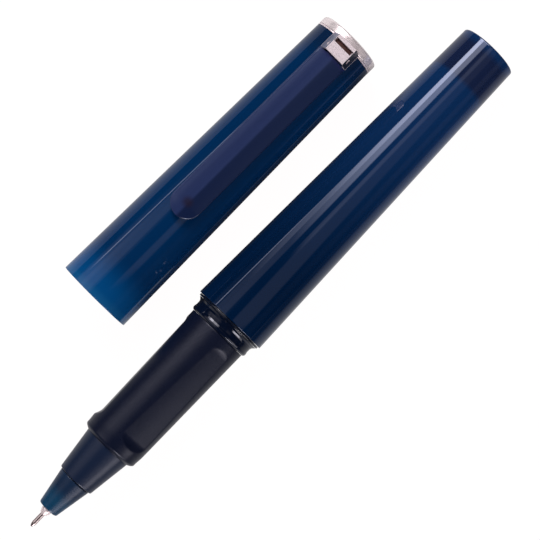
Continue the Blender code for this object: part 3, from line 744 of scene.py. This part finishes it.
def build_clip():
    """The bar is crowned on top, its edges are rounded, and its origin is on the pin."""
    half = 3.1
    centre = 20.8 + half - PIN_STATION
    root = 60.65 - PIN_STATION
    lower = 7.5 - PIN_HEIGHT
    upper = lower + 1.5
    crown = 0.3
    edge = 0.35
    lower_edge = 0.2
    rings = []
    for i in range(5):
        turn = math.pi / 2 * i / 4
        inset = lower_edge * (1 - math.sin(turn))
        height = lower + lower_edge * (1 - math.cos(turn))
        rings.append(stadium(half - inset, centre, root - inset * 0.3, height))
    for i in range(9):
        turn = math.pi / 2 * i / 8
        inset = edge * (1 - math.cos(turn))
        height = upper - crown - edge + edge * math.sin(turn)
        rings.append(stadium(half - inset, centre, root - inset * 0.3, height))
    flat = half - edge
    for i in range(1, 13):
        width = flat * (1 - i / 12) + 0.02
        height = upper - crown * (width / flat) ** 2
        rings.append(stadium(width, centre, root - edge * 0.3, height))
    mesh = grid_mesh("clip_body", rings)
    bm = bmesh.new()
    bm.from_mesh(mesh)
    nub = bmesh.ops.create_cone(
        bm, cap_ends=True, segments=32, radius1=0.75 * MM, radius2=0.6 * MM, depth=0.65 * MM,
    )
    upright = Matrix.Rotation(-math.pi / 2, 3, "Y")
    bmesh.ops.rotate(bm, verts=nub["verts"], cent=(0, 0, 0), matrix=upright)
    nub_place = Vector((lower + 0.075, 0, NUB_STATION - PIN_STATION)) * MM
    bmesh.ops.translate(bm, verts=nub["verts"], vec=nub_place)
    tongue = bmesh.ops.create_cube(bm, size=1.0)
    bmesh.ops.scale(bm, verts=tongue["verts"], vec=Vector((1.0, 3.0, 3.0)) * MM)
    bmesh.ops.translate(bm, verts=tongue["verts"], vec=Vector((0, 0, -0.65)) * MM)
    bm.to_mesh(mesh)
    bm.free()
    shade(mesh, 40)
    pivot = CLIP @ Matrix.Translation(Vector((PIN_HEIGHT, 0, PIN_STATION)) * MM)
    place("clip_body", mesh, pivot, CLIP_RESIN, ["clip_bar"], body="clip")


def build_slit_shade_leaf():
    """A bowed bar with round edges in the bracket's slit, a dark brown stand-in for the slit's shade:
    painted shade with a warm painted reflection.
    """
    half_length, half_width, half_thickness = 1.85, 0.4, 0.06
    middle_height, middle_z = 8.3, 63.46
    bow = 0.12
    rings = []
    for i in range(13):
        share = 2 * i / 12 - 1
        ring = []
        for k in range(16):
            turn = 2 * math.pi * k / 16
            up = math.copysign(abs(math.sin(turn)) ** 0.5, math.sin(turn))
            along = math.copysign(abs(math.cos(turn)) ** 0.5, math.cos(turn))
            height = middle_height - bow * share ** 2 + half_thickness * up
            ring.append((height, half_length * share, middle_z + half_width * along))
        rings.append(ring)
    mesh = grid_mesh("bracket_slit_shade_leaf", rings)
    shade(mesh, 50)
    place("bracket_slit_shade_leaf", mesh, CLIP, LEAF_SHADED_STEEL, body="cap")


def dress_cad_nodes():
    """Materials for the CAD pieces that stay as they are, and soft edges on the bracket."""
    looks = {
        "tail_plug": SMOKE, "refill_spring": WIRE_STEEL, "refill_tube": WHITE,
        "ink_reservoir": FIBRE, "refill_end_plug": WHITE, "refill_nose": WHITE, "feed_wick": FIBRE,
        "clip_bracket": BRACKET_STEEL, "clip_pin": PIN_STEEL,
    }
    for name, material in looks.items():
        node = frame["nodes"][name]
        for slot in node.material_slots:
            slot.material = material
    bracket = frame["nodes"]["clip_bracket"]
    edges = bracket.modifiers.new("edges", "BEVEL")
    edges.width = 0.09 * MM
    edges.segments = 3
    edges.limit_method = "ANGLE"
    edges.angle_limit = math.radians(35)


# ---------------------------------------------------------------- studio

def build_floor():
    """A white table top that glows evenly, as a lit acrylic sheet does."""
    bm = bmesh.new()
    bmesh.ops.create_grid(bm, x_segments=1, y_segments=1, size=1.2)
    mesh = bpy.data.meshes.new("floor")
    bm.to_mesh(mesh)
    bm.free()
    mat = bpy.data.materials.new("floor_acrylic")
    mat.use_nodes = True
    tree = mat.node_tree
    tree.nodes.clear()
    out = add(tree, "ShaderNodeOutputMaterial")
    where = add(tree, "ShaderNodeTexCoord")
    split = add(tree, "ShaderNodeSeparateXYZ")
    tree.links.new(where.outputs["Object"], split.inputs[0])
    x, y, _ = split.outputs
    path = add(tree, "ShaderNodeLightPath")
    # the glow is even to the eye, but glossy pieces mirror it dimmer: brightest near the pen, less
    # beyond the cap, none far out on the other side, and almost none in the gap between the two,
    # where the dimming is a painted shadow seen only in reflections
    left = remap(tree, y, 0.0, 0.07, 0.62, 0.36)
    right = remap(tree, y, -0.065, -0.018, 0.0, 0.85)
    across_gap = times(tree, step_between(tree, y, -0.010, -0.006), step_between(tree, y, 0.0105, 0.0075))
    along_gap = times(tree, step_between(tree, x, -0.024, -0.016), step_between(tree, x, 0.048, 0.040))
    gap = times(tree, across_gap, along_gap)
    mirrored = times(tree, left, right, remap(tree, gap, 0.0, 1.0, 1.0, 0.04))
    strength = add(tree, "ShaderNodeMix", data_type="FLOAT")
    tree.links.new(path.outputs["Is Glossy Ray"], strength.inputs[0])
    strength.inputs[2].default_value = 1.0
    tree.links.new(mirrored, strength.inputs[3])
    glow = add(tree, "ShaderNodeEmission")
    glow.inputs["Color"].default_value = (1.0, 0.985, 0.985, 1.0)
    tree.links.new(strength.outputs[0], glow.inputs["Strength"])
    matte = add(tree, "ShaderNodeBsdfDiffuse")
    matte.inputs["Color"].default_value = (0.03, 0.03, 0.03, 1.0)
    both = add(tree, "ShaderNodeAddShader")
    tree.links.new(glow.outputs[0], both.inputs[0])
    tree.links.new(matte.outputs[0], both.inputs[1])
    tree.links.new(both.outputs[0], out.inputs["Surface"])
    floor = bpy.data.objects.new("floor", mesh)
    mesh.materials.append(mat)
    bpy.context.scene.collection.objects.link(floor)
    floor.location.z = -0.0001


def build_world():
    """The studio that the glossy pieces mirror: soft boxes in an otherwise dark room.

    Each box is a band of the angle round the pen's axis (0 straight up, positive towards
    world -Y) that brightens or fades with the angle along it, and stops at an end. The angles
    are in degrees; the two zeros and the scale only say where they are counted from.
    """
    world = bpy.data.worlds.new("studio")
    bpy.context.scene.world = world
    world.use_nodes = True
    tree = world.node_tree
    tree.nodes.clear()
    direction = add(tree, "ShaderNodeTexCoord")
    split = add(tree, "ShaderNodeSeparateXYZ")
    tree.links.new(direction.outputs["Generated"], split.inputs[0])
    x, y, z = split.outputs
    degrees = 180 / math.pi
    across_zero, along_zero = 1.3, 4.3
    along_scale = 0.887
    across = times(tree, math_node(tree, "ARCTAN2", times(tree, y, -1.0), z), degrees)
    across = math_node(tree, "SUBTRACT", across, across_zero)
    along = times(tree, math_node(tree, "ARCSINE", x), degrees)
    along = math_node(tree, "DIVIDE", math_node(tree, "SUBTRACT", along, along_zero), along_scale)

    def band(low, high, soft_low, soft_high, slant=0.0):
        value = across
        if slant:
            value = math_node(tree, "SUBTRACT", across, times(tree, along, slant))
        rise = step_between(tree, value, low - soft_low, low + soft_low)
        fall = step_between(tree, value, high + soft_high, high - soft_high)
        return times(tree, rise, fall)

    def ramp(start, end, low, high):
        return remap(tree, along, start, end, low, high)

    def far(low, high):
        """Where a box stops: behind the pen for positive angles, in front of it for negative."""
        if high > 0:
            return step_between(tree, along, high, low)
        return step_between(tree, along, low, high)

    boxes = [
        # the long soft box on the cap's side, in two parts of different brightness
        (band(-51.0, -36.5, 1.6, 1.4), ramp(1.5, 5.0, 0.25, 1.6), far(30.0, 38.0)),
        (band(-51.0, -36.5, 1.6, 1.4), ramp(5.0, 12.0, 0.0, 8.8), far(30.0, 38.0)),
        (band(-36.5, -19.0, 1.4, 2.5), ramp(3.7, 8.0, 0.3, 2.9), far(30.0, 38.0)),
        (band(-60.0, -10.0, 3.0, 3.0), ramp(14.0, 18.0, 0.0, 4.5), far(34.0, 42.0)),
        # its thin bright border, which runs off slantwise
        (
            times(tree, band(-57.8, -56.0, 1.2, 1.2, 1.2), step_between(tree, along, -3.4, -2.6)),
            ramp(3.0, 6.0, 3.8, 0.0), far(14.0, 21.0),
        ),
        # a weak one further to the front
        (band(-70.0, -12.5, 4.0, 1.8), ramp(-5.5, 2.5, 0.24, 0.0), far(-28.0, -16.0)),
        (band(-66.0, -38.0, 5.0, 5.0), ramp(-6.0, 0.0, 0.5, 0.0), far(-28.0, -16.0)),
        # overhead
        (
            times(tree, band(-3.0, 9.0, 1.3, 3.5), step_between(tree, along, 3.4, 4.8)),
            ramp(3.0, 12.0, 0.48, 0.42), far(16.0, 26.0),
        ),
        (
            times(tree, band(10.0, 49.0, 3.5, 4.0, -1.5), step_between(tree, along, -0.5, 0.5)),
            ramp(-1.0, 12.0, 0.26, 0.12), far(16.0, 26.0),
        ),
        (
            times(tree, band(19.0, 38.0, 3.0, 4.0), step_between(tree, along, 0.5, -0.5)),
            ramp(-4.2, -3.2, 0.0, 0.27), far(-28.0, -16.0),
        ),
        # low on the other side
        (band(58.0, 76.0, 4.0, 6.0), ramp(3.0, 12.0, 0.03, 0.12), far(16.0, 26.0)),
        (band(88.0, 95.0, 3.0, 3.0), ramp(-1.8, 0.6, 0.3, 0.0), far(-28.0, -16.0)),
        # the boxes at the front that light the grip and the nose
        (band(-50.0, -12.0, 8.0, 6.0), ramp(-10.5, -5.5, 0.47, 0.0), far(-24.0, -15.0)),
        (band(64.0, 104.0, 8.0, 8.0), ramp(-12.0, -8.0, 2.6, 0.0), far(-52.0, -40.0)),
        (band(42.0, 70.0, 8.0, 8.0), ramp(-11.0, -7.0, 2.3, 0.0), far(-14.0, -11.0)),
        (band(42.0, 76.0, 6.0, 5.0), ramp(-50.0, -36.0, 14.0, 0.0), far(-74.0, -64.0)),
    ]
    total = None
    for shape, level, end in boxes:
        lit = times(tree, shape, level, end)
        total = lit if total is None else math_node(tree, "ADD", total, lit)
    out = add(tree, "ShaderNodeOutputWorld")
    seen = add(tree, "ShaderNodeBackground")
    seen.inputs["Color"].default_value = (0.96, 0.96, 0.97, 1.0)
    boxes_glow = add(tree, "ShaderNodeBackground")
    boxes_glow.inputs["Color"].default_value = (1.0, 0.95, 0.97, 1.0)
    tree.links.new(total, boxes_glow.inputs["Strength"])
    path = add(tree, "ShaderNodeLightPath")
    pick = add(tree, "ShaderNodeMixShader")
    tree.links.new(path.outputs["Is Camera Ray"], pick.inputs[0])
    tree.links.new(boxes_glow.outputs[0], pick.inputs[1])
    tree.links.new(seen.outputs[0], pick.inputs[2])
    tree.links.new(pick.outputs[0], out.inputs["Surface"])


def area_light(name, location, size, power):
    """A soft square light aimed at the origin. Glossy pieces mirror the studio, not this."""
    data = bpy.data.lights.new(name, "AREA")
    data.shape = "SQUARE"
    data.size = size
    data.energy = power
    lamp = bpy.data.objects.new(name, data)
    bpy.context.scene.collection.objects.link(lamp)
    lamp.location = location
    lamp.rotation_euler = (-Vector(location)).to_track_quat("-Z", "Y").to_euler()
    lamp.visible_glossy = False
    lamp.visible_camera = False


def build_lights():
    area_light("overhead", (0.0, 0.0, 0.7), size=0.9, power=0.25)
    area_light("side", (0.1, 0.42, 0.36), size=0.5, power=1.35)


def build_camera():
    """The photo's viewpoint: nearly straight down, with the pen lying slantwise in the frame."""
    eye = Vector((-0.003384, -0.031736, 0.371356))
    turn = Euler([math.radians(angle) for angle in (3.1881, 1.8075, -46.1234)])
    data = bpy.data.cameras.new("camera")
    data.lens = 133.315
    data.sensor_width = 36.0
    data.clip_start = 0.01
    camera = bpy.data.objects.new("camera", data)
    bpy.context.scene.collection.objects.link(camera)
    camera.matrix_world = Matrix.LocRotScale(eye, turn, None)
    bpy.context.scene.camera = camera


build_barrel()
build_collar()
build_core()
build_sleeve()
build_nose()
build_tip()
build_cap_shell()
build_cap_inside()
build_cap_end()
build_clip()
build_slit_shade_leaf()
dress_cad_nodes()
build_floor()
build_world()
build_lights()
build_camera()
bpy.context.scene.view_settings.view_transform = "Standard"

spring = frame["nodes"]["refill_spring"]
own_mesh(spring)
